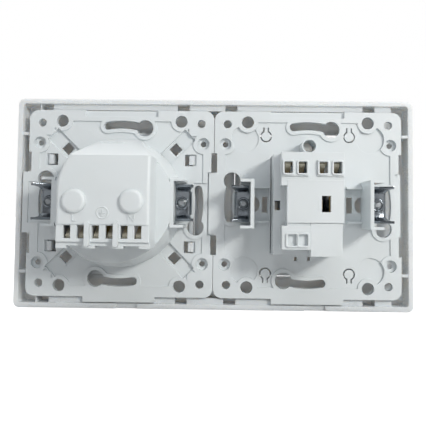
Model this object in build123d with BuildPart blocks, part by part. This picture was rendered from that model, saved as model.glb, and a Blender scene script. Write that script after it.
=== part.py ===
from build123d import *
import os
from math import acos, degrees, radians, sin, tan

os.makedirs("parts", exist_ok=True)

# A socket outlet and a one-way rocker switch under one two-gang frame, as they hang on the wall.
# X is to the right as seen from the room, Z is up and Y points into the wall. The wall plane,
# where both mounting plates rest, is y = 0. A depth is a y value, so places on the room side of
# the wall plane are negative. Lengths are millimetres and angles are degrees.

# General fits
loose = 0.3          # between pieces that move past each other or are put together by hand
running = 0.05       # round a shaft, on the radius
sheet = 0.8          # contact strip
leaf = 0.4           # clamp spring strip

# Module grid
plate_size = 70.8
plate_gap = 0.2
module_pitch = plate_size + plate_gap
insert_size = 55.0
socket_centre = module_pitch / 2
switch_centre = -module_pitch / 2

# Cover frame
frame_end = 4.45
frame_side = 4.25
frame_length = 2 * (module_pitch + frame_end)
frame_height = module_pitch + 2 * frame_side
frame_front = -9.5
frame_skin = 2.0
frame_wall = 1.8
frame_corner = 2.2
frame_round = 1.5
opening_size = insert_size + 2 * loose
collar_wall = 1.3
collar_rise = 0.8
rail_inset = 6.2
pocket_places = (29.2, -23.4)
pocket_width = 4.6
rib_thickness = 1.1
rib_place = 26.3
pry_notch_place = -3.0
pry_notch_length = 8.0
pry_notch_rise = 1.0

# Mounting plates
plate_thickness = 2.2
plate_corner = 3.4
border_width = 4.1
field_depth = 0.5
pad_depth = 0.9
tongue_reach = 2.0
tongue_side = 23.2
tongue_foot = 27.2
edge_notch_depth = 1.0
edge_notch_length = 7.4
edge_notch_place = 15.6
fixing_radius = 30.0
keyhole_slot = 3.1
keyhole_head = 6.3
keyhole_head_angle = 17.3
keyhole_sweep = 27.5
keyhole_lip = 1.4
corner_hole = 3.1
corner_hole_inset = 4.9
corner_hole_place = plate_size / 2 - corner_hole_inset
corner_land = 9.4
round_hole = 4.6
counterbore_through = 2.1
counterbore_depth = 1.5
hole_inset = 4.1
hole_pattern = (22.8, plate_size / 2 - hole_inset)
hole_rim = 3.9

# Spreader claws, their screws and their guides
claw_head_radius = 2.7
claw_head_gap = 0.53
claw_place = insert_size / 2 - claw_head_radius - claw_head_gap
guide_to_screw = 3.77
guide_inner = claw_place - guide_to_screw
guide_wall = 1.3
guide_arm_wall = 1.0
guide_half_height = 8.8
guide_end_to_screw = 1.13
guide_reach = claw_place + guide_end_to_screw
guide_depth = 13.5
claw_sheet = 0.9
claw_web_rear = 8.0
claw_web_outer = 2.93
claw_half_height = 6.6
claw_tooth = ((-2.17, 10.4), (0.23, 12.2), (4.43, 14.4), (3.63, 11.7), (4.43, 10.6))
claw_lip_half = 4.9
claw_lip_front = 3.6
claw_screw_radius = 1.5
claw_screw_end = 9.4
claw_head_height = 1.8
driver_slot = 0.8
driver_slot_depth = 0.9

# Socket: plug recess, insert and shutter
pin_spacing = 19.0
pin_hole_radius = 3.0
insert_front = -11.0
insert_skin = 1.8
insert_wall = 1.5
insert_skirt_end = -4.4
insert_corner = 1.2
well_radius = 19.5
well_length = 17.5
well_wall = 1.2
well_floor = 1.6
guide_rib = (5.0, 1.9)
insert_boss_radius = 3.6
insert_head_radius = 2.8
insert_head_height = 1.6
earth_window = 6.5
earth_window_front = -7.0
window_inset = 1.0
window_place = (insert_size / 2 - window_inset, 16.5)
window_size = 4.4
hook_width = 3.6
hook_nose = 1.0
shutter_thickness = 1.6
shutter_half_height = 3.3
shutter_ramp_rise = 1.1
shutter_lobe = (6.2, 12.9)
shutter_bridge = (3.95, 5.9)
shutter_travel = 6.2
shutter_tab_half_width = 1.8
shutter_spring_radius = 1.2
shutter_spring_turns = 5
spring_wire = 0.3
spring_stop = (15.6, 16.8)

# Socket: base, terminal block and contacts
square_hole = 3.6
square_hole_radius = 29.3
channel_width = 5.8
channel_span = (22.0, 31.5)
channel_depth = 1.5
dome_profile = ((24.0, 3.0), (22.9, 9.5), (21.6, 13.6))
block_half_width = 15.6
block_bottom = -15.7
block_depth = 27.0
block_flat_top = 15.4
block_fold = 5.0
block_fall = 1.0
block_slope_foot = (9.5, 22.8)
block_arch_radius = 20.0
block_arch_start = 3.5
block_shoulder = 8.5
block_round = 1.2
block_back_wall = 1.8
boss_radius = 4.1
boss_rise = 1.5
boss_round = 1.3
boss_recess_radius = 2.8
chamber_side = 14.2
chamber_web = 1.0
chamber_top = 4.4
chamber_bottom = -12.4
wire_hole = (2.4, 4.3)
wire_hole_place = -10.2
wire_hole_pitch = 4.56
panel_top = -7.7
panel_recess = 0.4
lip_top = -13.5
lip_drop = 1.3
divider_width = 1.6
divider_span = (-15.0, -6.6)
divider_rise = 1.5
lip_notch = (5.2, 0.9)
lip_notch_length = 5.0
contact_sheet = 0.7
contact_rear = 24.0
pin_grip = 4.5
grip_span = (-2.4, 3.4)
busbar_place = -7.1
busbar_reach = 3.7
strap_depth = 12.0
strap_width = 6.0
clip_line = ((-5.5, 20.3), (-1.5, 18.6), (3.4, 22.0), (6.0, 22.0))
clamp_width = 2.0
clamp_base_width = 7.0
clamp_base_front = 14.0
clamp_bend = 0.7

# Switch: rocker, cradle and plunger
mechanism_shift = -0.4
rocker_width = insert_size
rocker_height = 54.0
rocker_front = -11.5
rocker_skin = 1.8
rocker_wall = 1.4
rocker_skirt_end = -5.5
rocker_corner = 1.2
pivot_depth = -4.0
rest_tilt = 4.5
trunnion_radius = 1.4
trunnion_length = 1.5
cradle_half_width = 8.3
cradle_half_height = 6.0
cradle_plate = 1.5
cheek_thickness = 1.5
cheek_radius = 2.3
tube_radius = 2.6
tube_end = 5.0
plunger_radius = 1.5
plunger_tip = 1.2
plunger_length = 11.5
plunger_spring_turns = 6
plunger_spring_radius = 1.15

# Switch: seesaw and contacts
seesaw_depth = 13.2
seesaw_tilt = 9.6
seesaw_span = (-10.2, 8.3)
seesaw_half_width = 2.6
fulcrum_radius = 0.35
rivet_radius = 1.5
rivet_shank = 0.8
rivet_head = 0.9
rivet_peen = 0.35
rivet_place = -8.6
contact_gap = 0.15
stop_span = (6.4, 8.2)
stop_half_width = 1.5
terminal_busbar = 9.3
common_foot = (-2.9, 5.0)
common_foot_half = 1.5
common_arm = (2.6, 5.0)
common_busbar = (2.3, 10.3)
switched_pad = (-10.8, -6.8)
switched_strip = (-8.6, -5.4)
switched_busbar = (-9.1, -1.2)
terminal_front = 9.0

# Switch: housing and yoke
housing_back = 17.4
housing_foot = ((-10.2, 13.7), (-18.0, 17.9))
housing_foot_depth = 12.0
upper_block = ((-10.2, 11.4), (6.3, 17.9))
upper_depth = 19.0
centre_block = ((-10.2, 9.4), (-6.5, 8.2))
centre_depth = 19.1
core_block = ((-9.7, 9.4), (-15.7, 8.2))
core_depth = 18.4
blank_block = ((1.3, 11.1), (-15.7, -7.6))
lower_block = ((-9.7, 1.2), (-18.0, -6.6))
lower_depth = 18.7
boss_spans = ((2.0, 11.1), (-10.2, -0.9))
terminal_boss = (9.5, 15.1)
terminal_depth = 19.5
entry_hole = (2.85, 4.0)
entry_place = 12.5
entry_pitch = 4.87
entry_centres = (6.6, -5.4)
blank_entry = (3.1, 3.9)
blank_entry_centres = (7.7, 3.85)
blank_entry_place = -12.4
blank_entry_depth = 0.9
test_slot = (3.1, 5.6)
test_slot_place = (-4.05, 0.0)
foot_window = (12.2, -0.5)
foot_window_size = (2.0, 3.4)
foot_slot = (14.0, 7.7)
foot_slot_size = (0.8, 3.4)
core_cavity = ((-9.0, 8.2), (-14.4, 8.6))
terminal_cavities = ((1.9, 10.6), (-9.4, -0.9))
terminal_cavity_top = 14.8
flange_thickness = 1.2
flange_margin = 1.5
ear_front = -6.3
ear_thickness = 1.9
ear_half_height = 3.4
yoke_opening_top = 18.2
channel_half_height = 6.1
channel_rib = 0.8
channel_rise = 1.5
channel_start = 14.6
channel_floor = 1.4
channel_slot = (2.1, 6.0)
channel_slot_place = 16.0
channel_hole_radius = 3.1
channel_hole_place = 21.1
lamp_post = (0.3, 21.4)
lamp_post_hole = 2.3
lamp_post_wall = 0.5
lamp_post_end = 8.0
small_slot = (1.0, 1.5)
small_slot_places = ((4.4, -20.4), (-0.5, -20.4))
snap_place = (15.8, 26.0)
snap_radius = 2.0
snap_slit = 0.5
snap_gap_angle = 50.0
snap_leg = 1.6
pad_radius = 5.2
pad_place = (23.8, 25.0)


def facing_room(x, depth, z=0.0):
    """Sketch plane seen from the room. A positive extrusion comes towards the room."""
    return Plane(origin=(x, depth, z), x_dir=(1, 0, 0), z_dir=(0, -1, 0))


def side_view(x):
    """Sketch plane whose own x is depth and whose own y is height."""
    return Plane(origin=(x, 0, 0), x_dir=(0, 1, 0), z_dir=(1, 0, 0))


def four_corners(x, z):
    """The same place in all four corners of a module."""
    return GridLocations(2 * x, 2 * z, 2, 2)


def area(x_span, z_span):
    """Rectangle between two x values and two z values."""
    with BuildSketch() as outline:
        with Locations((min(x_span), min(z_span))):
            Rectangle(abs(x_span[1] - x_span[0]), abs(z_span[1] - z_span[0]), align=(Align.MIN, Align.MIN))
    return outline.sketch


def block(centre, x_span, z_span, depth_span):
    """Rectangular block of a module between two x, two z and two depth values."""
    with BuildPart() as solid:
        with BuildSketch(facing_room(centre, max(depth_span))):
            add(area(x_span, z_span))
        extrude(amount=max(depth_span) - min(depth_span))
    return solid.part


def bent_strip(plane, points, thickness, width):
    """Strip bent along a line of points, as wide on both sides of its sketch plane."""
    with BuildPart() as strip:
        with BuildSketch(plane):
            with BuildLine():
                Polyline(*points)
            trace(line_width=thickness)
        extrude(amount=width / 2, both=True)
    return strip.part


def coil(start, direction, length, radius, turns):
    """Compression spring between two flat seats."""
    with BuildPart() as spring:
        with BuildLine() as centre_line:
            Helix(length / turns, length, radius, center=start, direction=direction)
        with BuildSketch(centre_line.line ^ 0):
            Rectangle(spring_wire, spring_wire)
        sweep(is_frenet=True)
    return spring.part


def write(part, name):
    """Names a finished piece and writes it to its own file."""
    part.label = name
    export_step(part, f"parts/{name}.step")


# Cover frame
module_centres = (socket_centre, switch_centre)
rim_rear = -loose
skin_rear = frame_front + frame_skin
collar_rear = skin_rear + collar_rise
rail_rear = -plate_thickness / 2 - loose
inner_length = frame_length - 2 * frame_wall
inner_height = frame_height - 2 * frame_wall
rail_foot = plate_size / 2 + loose
side_gap = inner_length / 2 - module_pitch - loose

with BuildPart() as cover_frame:
    with BuildSketch(facing_room(0, rim_rear)):
        RectangleRounded(frame_length, frame_height, frame_corner)
    extrude(amount=rim_rear - frame_front)
    fillet(cover_frame.faces().sort_by(Axis.Y)[0].edges(), frame_round)
    with BuildSketch(facing_room(0, rim_rear)):
        RectangleRounded(inner_length, inner_height, frame_corner / 2)
    extrude(amount=rim_rear - skin_rear, mode=Mode.SUBTRACT)
    with BuildSketch(facing_room(0, collar_rear)):
        with Locations(*((centre, 0) for centre in module_centres)):
            RectangleRounded(opening_size + 2 * collar_wall, opening_size + 2 * collar_wall, collar_wall)
    extrude(amount=collar_rise)
    with BuildSketch(facing_room(0, rail_rear)):
        Rectangle(inner_length - 2 * rail_inset, inner_height)
        Rectangle(inner_length, 2 * rail_foot, mode=Mode.SUBTRACT)
        with Locations(*((centre + place, 0) for centre in module_centres for place in pocket_places)):
            Rectangle(pocket_width, frame_height, mode=Mode.SUBTRACT)
    extrude(amount=rail_rear - skin_rear)
    with BuildSketch(facing_room(0, rim_rear - loose)):
        with four_corners((inner_length - side_gap) / 2, rib_place):
            Rectangle(side_gap, rib_thickness)
    extrude(amount=rim_rear - loose - skin_rear)
    with BuildSketch(facing_room(0, rim_rear)):
        with Locations(*((centre, 0) for centre in module_centres)):
            Rectangle(opening_size, opening_size)
    extrude(amount=rim_rear - frame_front, mode=Mode.SUBTRACT)
    with BuildSketch(facing_room(0, rim_rear)):
        with Locations(*((centre + pry_notch_place, -frame_height / 2) for centre in module_centres)):
            Rectangle(pry_notch_length, frame_height - inner_height)
    extrude(amount=pry_notch_rise, mode=Mode.SUBTRACT)
write(cover_frame.part, "cover_frame")


# Mounting plates, the same outline and holes for both modules
def keyholes(margin=0.0):
    """Four keyholes on the fixing circle, each an arc of slot with a round head at one end."""
    slot_line = CenterArc((0, 0), fixing_radius, keyhole_head_angle - keyhole_sweep, keyhole_sweep)
    with BuildSketch() as outline:
        with PolarLocations(0, 4):
            SlotArc(slot_line, keyhole_slot + 2 * margin)
        with PolarLocations(fixing_radius, 4, start_angle=keyhole_head_angle):
            Circle(keyhole_head / 2 + margin)
    return outline.sketch


def sunken_field():
    """The lower middle of a plate, inside its border, the hole rims and the keyhole lips."""
    inner = plate_size - 2 * border_width
    land = corner_hole_place - corner_land / 2
    with BuildSketch() as outline:
        Rectangle(inner, inner)
        with four_corners(land + corner_land, land + corner_land):
            Rectangle(2 * corner_land, 2 * corner_land, mode=Mode.SUBTRACT)
        with four_corners(*hole_pattern):
            Circle(hole_rim, mode=Mode.SUBTRACT)
        with four_corners(*reversed(hole_pattern)):
            Circle(hole_rim, mode=Mode.SUBTRACT)
        add(keyholes(keyhole_lip), mode=Mode.SUBTRACT)
    return outline.sketch


def mounting_plate(centre):
    """Plate with its interlocking tongues, sunken field, keyholes and screw holes."""
    half = plate_size / 2
    lap = plate_thickness / 2
    wall_side = facing_room(centre, 0)
    with BuildPart() as plate:
        with BuildSketch(wall_side):
            RectangleRounded(plate_size, plate_size, plate_corner)
            with four_corners(half, edge_notch_place):
                Rectangle(2 * edge_notch_depth, edge_notch_length, mode=Mode.SUBTRACT)
        extrude(amount=plate_thickness)
        with BuildSketch(wall_side):
            with Locations((half, 0)):
                Rectangle(2 * tongue_reach, tongue_side)
            with Locations((0, -half)):
                Rectangle(tongue_foot, 2 * tongue_reach)
        extrude(amount=lap - running)
        with BuildSketch(wall_side):
            with Locations((-half, 0)):
                Rectangle(2 * (tongue_reach + loose), tongue_side + 2 * loose)
            with Locations((0, half)):
                Rectangle(tongue_foot + 2 * loose, 2 * (tongue_reach + loose))
        extrude(amount=lap + running, mode=Mode.SUBTRACT)
        with BuildSketch(wall_side):
            add(sunken_field())
        extrude(amount=field_depth, mode=Mode.SUBTRACT)
        with BuildSketch(wall_side):
            add(keyholes())
            with four_corners(corner_hole_place, corner_hole_place):
                Circle(corner_hole / 2)
            with four_corners(*hole_pattern):
                Circle(round_hole / 2)
            with four_corners(*reversed(hole_pattern)):
                Circle(counterbore_through / 2)
            with Locations((claw_place, 0), (-claw_place, 0)):
                Circle(claw_screw_radius + loose)
        extrude(amount=plate_thickness, both=True, mode=Mode.SUBTRACT)
        with BuildSketch(wall_side):
            with four_corners(*reversed(hole_pattern)):
                Circle(round_hole / 2)
        extrude(amount=counterbore_depth, mode=Mode.SUBTRACT)
    return plate.part


pocket_inner = guide_inner + guide_wall
pocket_half_height = guide_half_height - guide_arm_wall


def claw_guides(centre):
    """Channel-shaped guides behind the plate, one on each side, open outwards."""
    with BuildPart() as guides:
        with BuildSketch(facing_room(centre, guide_depth)):
            with Locations(*((side * (guide_inner + guide_reach) / 2, 0) for side in (1, -1))):
                Rectangle(guide_reach - guide_inner, 2 * guide_half_height)
            with Locations(*((side * (pocket_inner + guide_reach) / 2, 0) for side in (1, -1))):
                Rectangle(guide_reach - pocket_inner, 2 * pocket_half_height, mode=Mode.SUBTRACT)
        extrude(amount=guide_depth + plate_thickness / 2)
    return guides.part


# Socket base: plate, round well housing and terminal block in one moulding
live_poles = (pin_spacing / 2, -pin_spacing / 2)
pole_places = (*live_poles, 0.0)
floor_front = insert_front + well_length
floor_rear = floor_front + well_floor
shutter_front = floor_rear + loose
shutter_rear = shutter_front + shutter_thickness
cavity_radius = well_radius + well_wall + loose
cavity_depth = shutter_rear + loose
chamber_rear = block_depth - block_back_wall
chamber_inner = pin_spacing / 2 - (chamber_side - pin_spacing / 2)
strap_rear = strap_depth + sheet / 2
clip_back = clip_line[-1][1]
strap_corner = clip_back - (strap_depth - clip_line[-1][0])
strap_room = sheet / 2 + loose
mitre = strap_room * tan(radians(45 / 2))


def terminal_block():
    """Rear block, arched on the +X side of its top and cut off at an angle on the other side."""
    arch_centre = block_half_width - block_arch_radius
    arch_top = (0, block_arch_start + (block_arch_radius ** 2 - arch_centre ** 2) ** 0.5)
    slope_depth, slope_height = block_slope_foot
    with BuildPart() as solid:
        with BuildSketch(facing_room(socket_centre, block_depth)):
            with BuildLine():
                Polyline(
                    arch_top,
                    (-block_shoulder, slope_height),
                    (-block_half_width, block_flat_top),
                    (-block_half_width, block_bottom),
                    (block_half_width, block_bottom),
                    (block_half_width, block_arch_start),
                )
                RadiusArc((block_half_width, block_arch_start), arch_top, -block_arch_radius)
            make_face()
        extrude(amount=block_depth + field_depth)
        with BuildSketch(side_view(socket_centre)):
            with BuildLine():
                Polyline(
                    (-plate_thickness, block_bottom),
                    (block_depth, block_bottom),
                    (block_depth, block_fold),
                    (block_depth - block_fall, block_flat_top),
                    (slope_depth, slope_height),
                    (-plate_thickness, slope_height),
                    close=True,
                )
            make_face()
        extrude(amount=block_half_width, both=True, mode=Mode.INTERSECT)
        rear_edges = solid.edges().filter_by(lambda edge: edge.center().Y > block_depth - 2 * block_fall)
        fillet(rear_edges.filter_by(Axis.X, reverse=True), block_round)
    return solid.part


def well_housing():
    """Round housing of the plug recess, narrower towards the wall box."""
    with BuildPart() as solid:
        with BuildSketch(Plane.XY):
            with BuildLine():
                Polyline((0, -field_depth), (dome_profile[0][0], -field_depth), *dome_profile,
                         (0, dome_profile[-1][1]), close=True)
            make_face()
        revolve(axis=Axis.Y)
    return solid.part.moved(Location((socket_centre, 0, 0)))


with BuildPart() as socket_base:
    add(mounting_plate(socket_centre))
    with BuildSketch(facing_room(socket_centre, 0)):
        with PolarLocations(sum(channel_span) / 2, 4, start_angle=45):
            Rectangle(channel_span[1] - channel_span[0], channel_width)
    extrude(amount=channel_depth, mode=Mode.SUBTRACT)
    add(well_housing())
    add(terminal_block())
    for side in (1, -1):
        add(
            block(socket_centre, (side * pocket_inner, side * plate_size / 2),
                  (-pocket_half_height, pocket_half_height), (-field_depth, guide_depth)),
            mode=Mode.SUBTRACT,
        )
    add(claw_guides(socket_centre))
    with BuildPart(mode=Mode.PRIVATE) as pin_bosses:
        with BuildSketch(facing_room(socket_centre, block_depth + boss_rise)):
            with Locations(*((pole, 0) for pole in live_poles)):
                Circle(boss_radius)
        extrude(amount=boss_rise + block_back_wall)
        fillet(pin_bosses.edges().group_by(Axis.Y)[-1], boss_round)
    add(pin_bosses.part)
    # terminal panel with its lip, the dividers between the poles and the notches under them
    add(
        block(socket_centre, (-block_half_width, block_half_width), (block_bottom, panel_top),
              (block_depth - panel_recess, block_depth)),
        mode=Mode.SUBTRACT,
    )
    add(
        block(socket_centre, (-block_half_width, block_half_width), (block_bottom, lip_top),
              (block_depth - lip_drop, block_depth)),
        mode=Mode.SUBTRACT,
    )
    with BuildSketch(facing_room(socket_centre, block_depth + divider_rise)):
        with Locations(*((side * pin_spacing / 4, sum(divider_span) / 2) for side in (1, -1))):
            RectangleRounded(divider_width, divider_span[1] - divider_span[0], divider_width / 2 - running)
    extrude(amount=divider_rise + lip_drop)
    with BuildSketch(facing_room(socket_centre, block_depth)):
        with Locations(*((pole, block_bottom) for pole in pole_places)):
            Rectangle(lip_notch[0], 2 * lip_notch[1])
    extrude(amount=lip_notch_length, mode=Mode.SUBTRACT)
    # cavity of the well, open to the room, with the contact chambers behind it
    with BuildSketch(facing_room(socket_centre, cavity_depth)):
        Circle(cavity_radius)
    extrude(amount=cavity_depth + plate_thickness, mode=Mode.SUBTRACT)
    for side in (1, -1):
        add(
            block(socket_centre, (side * chamber_inner, side * chamber_side), (chamber_bottom, chamber_top),
                  (cavity_depth, chamber_rear)),
            mode=Mode.SUBTRACT,
        )
    earth_side = chamber_inner - chamber_web
    add(
        block(socket_centre, (-earth_side, earth_side), (chamber_bottom, busbar_place + contact_sheet),
              (cavity_depth, chamber_rear)),
        mode=Mode.SUBTRACT,
    )
    with BuildSketch(side_view(socket_centre)):
        with BuildLine():
            Polyline(
                (-plate_thickness, 0),
                (-plate_thickness, clip_back + strap_room),
                (clip_line[-1][0] + mitre, clip_back + strap_room),
                (strap_depth + strap_room, strap_corner + mitre),
                (strap_depth + strap_room, 0),
            )
            mirror(about=Plane.XZ)
        make_face()
    extrude(amount=strap_width / 2 + loose, both=True, mode=Mode.SUBTRACT)
    with BuildSketch(facing_room(socket_centre, strap_rear + 2 * sheet)):
        Circle(claw_screw_radius + loose)
    extrude(amount=2 * sheet, mode=Mode.SUBTRACT)
    with BuildSketch(facing_room(socket_centre, block_depth + boss_rise - block_back_wall)):
        with Locations(*((pole, 0) for pole in live_poles)):
            Circle(boss_recess_radius)
    extrude(amount=block_back_wall, mode=Mode.SUBTRACT)
    with BuildSketch(facing_room(socket_centre, block_depth)):
        with Locations(*((pole, wire_hole_place) for pole in pole_places)):
            with GridLocations(wire_hole_pitch, 0, 2, 1):
                Rectangle(*wire_hole)
    extrude(amount=block_back_wall, mode=Mode.SUBTRACT)
    # windows for the hooks of the insert, narrower on the room side, and the square holes
    with BuildSketch(facing_room(socket_centre, 0)):
        with four_corners(*window_place):
            Rectangle(window_size, window_size)
    extrude(amount=plate_thickness / 2, mode=Mode.SUBTRACT)
    with BuildSketch(facing_room(socket_centre, 0)):
        with four_corners(window_place[0] - hook_nose / 2, window_place[1]):
            Rectangle(window_size - hook_nose, window_size)
        with PolarLocations(square_hole_radius, 4, start_angle=45):
            Rectangle(square_hole, square_hole)
    extrude(amount=plate_thickness, mode=Mode.SUBTRACT)
write(socket_base.part, "socket_base")


# Socket insert: square face with the round plug recess
face_rear = insert_front + insert_skin
screw_seat = floor_front + loose + insert_head_height

with BuildPart() as socket_insert:
    with BuildSketch(facing_room(socket_centre, insert_skirt_end)):
        RectangleRounded(insert_size, insert_size, insert_corner)
    extrude(amount=insert_skirt_end - insert_front)
    fillet(socket_insert.faces().sort_by(Axis.Y)[0].edges(), insert_wall / 2)
    with BuildSketch(facing_room(socket_centre, insert_skirt_end)):
        Rectangle(insert_size - 2 * insert_wall, insert_size - 2 * insert_wall)
    extrude(amount=insert_skirt_end - face_rear, mode=Mode.SUBTRACT)
    with BuildSketch(facing_room(socket_centre, floor_rear)):
        Circle(well_radius + well_wall)
    extrude(amount=floor_rear - face_rear)
    with BuildSketch(facing_room(socket_centre, floor_front)):
        Circle(well_radius)
        with Locations((well_radius, 0), (-well_radius, 0)):
            Rectangle(2 * guide_rib[1], guide_rib[0], mode=Mode.SUBTRACT)
    extrude(amount=well_length, mode=Mode.SUBTRACT)
    with BuildSketch(facing_room(socket_centre, shutter_rear)):
        Circle(insert_boss_radius)
    extrude(amount=shutter_rear - floor_rear + well_floor / 2)
    with BuildSketch(facing_room(socket_centre, screw_seat)):
        Circle(insert_head_radius + running)
    extrude(amount=screw_seat - floor_front, mode=Mode.SUBTRACT)
    with BuildSketch(facing_room(socket_centre, shutter_rear)):
        Circle(claw_screw_radius + loose / 2)
    extrude(amount=shutter_rear - floor_front, mode=Mode.SUBTRACT)
    with BuildSketch(facing_room(socket_centre, floor_rear)):
        with Locations(*((pole, 0) for pole in live_poles)):
            Circle(pin_hole_radius)
    extrude(amount=well_floor, mode=Mode.SUBTRACT)
    for side in (1, -1):
        add(
            block(socket_centre, (-earth_window / 2, earth_window / 2),
                  (side * (clip_line[1][1] - sheet), side * (cavity_radius + loose)),
                  (earth_window_front, floor_rear)),
            mode=Mode.SUBTRACT,
        )
    # rails beside the shutter and the seat of its spring
    shutter_end = shutter_half_height + shutter_travel + loose
    for side in (1, -1):
        rail = side * (shutter_lobe[1] + loose)
        add(
            block(socket_centre, (rail, rail + side * well_wall), (-shutter_half_height, shutter_end),
                  (floor_rear, shutter_rear))
        )
    add(
        block(socket_centre, (-shutter_tab_half_width, shutter_tab_half_width), spring_stop,
              (floor_rear, cavity_depth))
    )
    # hooks that reach through the windows of the plate
    for side in (1, -1):
        for height in (window_place[1], -window_place[1]):
            edge = socket_centre + side * insert_size / 2
            with BuildSketch(Plane.XY.offset(height)):
                with BuildLine():
                    Polyline(
                        (edge - side * insert_wall, insert_skirt_end - insert_wall),
                        (edge - side * insert_wall, -running),
                        (edge, -running),
                        (edge + side * (hook_nose - running), -plate_thickness / 2 + running),
                        (edge, -plate_thickness / 2 + running),
                        (edge, insert_skirt_end - insert_wall),
                        close=True,
                    )
                make_face()
            extrude(amount=hook_width / 2, both=True)
write(socket_insert.part, "socket_insert")


def screw(name, place, seat, end, head_radius, head_height):
    """Slotted screw along Y with a flat head towards the room; seat is the depth under its head."""
    x, z = place
    with BuildPart() as piece:
        with BuildSketch(facing_room(x, end, z)):
            Circle(claw_screw_radius)
        extrude(amount=end - seat)
        chamfer(piece.faces().sort_by(Axis.Y)[-1].edges(), loose)
        with BuildSketch(facing_room(x, seat, z)):
            Circle(head_radius)
        extrude(amount=head_height)
        chamfer(piece.faces().sort_by(Axis.Y)[0].edges(), loose)
        with BuildSketch(facing_room(x, seat - head_height + driver_slot_depth, z)):
            Rectangle(3 * head_radius, driver_slot)
        extrude(amount=head_height, mode=Mode.SUBTRACT)
    write(piece.part, name)


screw(
    "insert_screw", (socket_centre, 0), screw_seat, strap_rear + sheet, insert_head_radius,
    insert_head_height,
)

# Shutter with a ramp in front of each pin hole, and its return spring
spring_axis = shutter_front + shutter_spring_radius + spring_wire

with BuildPart() as shutter:
    for side in (1, -1):
        lobe_middle = socket_centre + side * sum(shutter_lobe) / 2
        with BuildSketch(side_view(lobe_middle)):
            with BuildLine():
                Polyline(
                    (shutter_front, shutter_half_height / 3),
                    (shutter_front, shutter_half_height),
                    (shutter_rear, shutter_half_height),
                    (shutter_rear, -shutter_half_height),
                    (shutter_front + shutter_ramp_rise, -shutter_half_height),
                    close=True,
                )
            make_face()
        extrude(amount=(shutter_lobe[1] - shutter_lobe[0]) / 2, both=True)
    add(
        block(socket_centre, (-shutter_lobe[1], shutter_lobe[1]), (shutter_half_height, shutter_bridge[1]),
              (shutter_front, shutter_rear))
    )
    with BuildSketch(facing_room(socket_centre, shutter_rear)):
        Circle(shutter_bridge[0])
    extrude(amount=shutter_thickness, mode=Mode.SUBTRACT)
    add(
        block(socket_centre, (-shutter_tab_half_width, shutter_tab_half_width), shutter_bridge,
              (shutter_front, strap_depth - strap_room))
    )
write(shutter.part, "shutter")

shutter_spring = coil(
    (socket_centre, spring_axis, shutter_bridge[1] + spring_wire / 2 + running), (0, 0, 1),
    spring_stop[0] - shutter_bridge[1] - spring_wire - 2 * running, shutter_spring_radius,
    shutter_spring_turns,
)
write(shutter_spring, "shutter_spring")

# Line and neutral contacts: a fork round the pin, with a leg down to the busbar
grip_line = (
    (-(pin_grip + contact_sheet) / 2, grip_span[0]),
    (-(pin_grip + contact_sheet) / 2, grip_span[1]),
    ((pin_grip + contact_sheet) / 2, grip_span[1]),
    ((pin_grip + contact_sheet) / 2, busbar_place),
    (-busbar_reach, busbar_place),
)
grip_length = contact_rear - cavity_depth - loose
for side, name in ((1, "line_contact"), (-1, "neutral_contact")):
    grip_plane = facing_room(socket_centre + side * pin_spacing / 2, contact_rear - grip_length / 2)
    contact = bent_strip(grip_plane, [(side * x, z) for x, z in grip_line], contact_sheet, grip_length)
    write(contact, name)

# Earth strap across the housing, with a clip at the top and bottom of the recess
half_strap = (*clip_line, (strap_depth, strap_corner), (strap_depth, 0))
with BuildPart() as earth_strap:
    with BuildSketch(side_view(socket_centre)):
        with BuildLine():
            Polyline(*half_strap)
            Polyline(*((depth, -height) for depth, height in half_strap))
        trace(line_width=sheet)
        with BuildLine():
            Line((strap_depth, busbar_place), (contact_rear, busbar_place))
        trace(line_width=contact_sheet)
    extrude(amount=strap_width / 2, both=True)
    with BuildSketch(facing_room(socket_centre, strap_rear)):
        Circle(claw_screw_radius + running)
    extrude(amount=sheet, mode=Mode.SUBTRACT)
write(earth_strap.part, "earth_strap")


def wire_clamp(name, centre, pitch, rear, base_height, bar_height):
    """Leaf spring with two tongues that press the wires on a busbar. The bend is at the wire entries."""
    into = 1 if bar_height > base_height else -1
    base_end = rear - clamp_bend
    with BuildPart() as clamp:
        with BuildSketch(side_view(centre)):
            with BuildLine():
                Polyline((clamp_base_front + rear - contact_rear, base_height), (base_end, base_height))
            trace(line_width=leaf)
        extrude(amount=clamp_base_width / 2, both=True)
        for side in (1, -1):
            with BuildSketch(side_view(centre + side * pitch / 2)):
                with BuildLine():
                    Polyline(
                        (base_end - clamp_bend, base_height),
                        (base_end, base_height),
                        (rear, base_height + into * clamp_bend),
                        (base_end, base_height + into * 2 * clamp_bend),
                        (base_end - (bar_height - base_height) * into, bar_height - into * leaf),
                    )
                trace(line_width=leaf)
            extrude(amount=clamp_width / 2, both=True)
    write(clamp.part, name)


clamp_wall = chamber_bottom + running + leaf / 2
for pole, name in zip(pole_places, ("line_clamp", "neutral_clamp", "earth_clamp")):
    wire_clamp(
        name, socket_centre + pole, wire_hole_pitch, contact_rear + loose, clamp_wall,
        busbar_place - contact_sheet / 2 - loose,
    )


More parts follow.
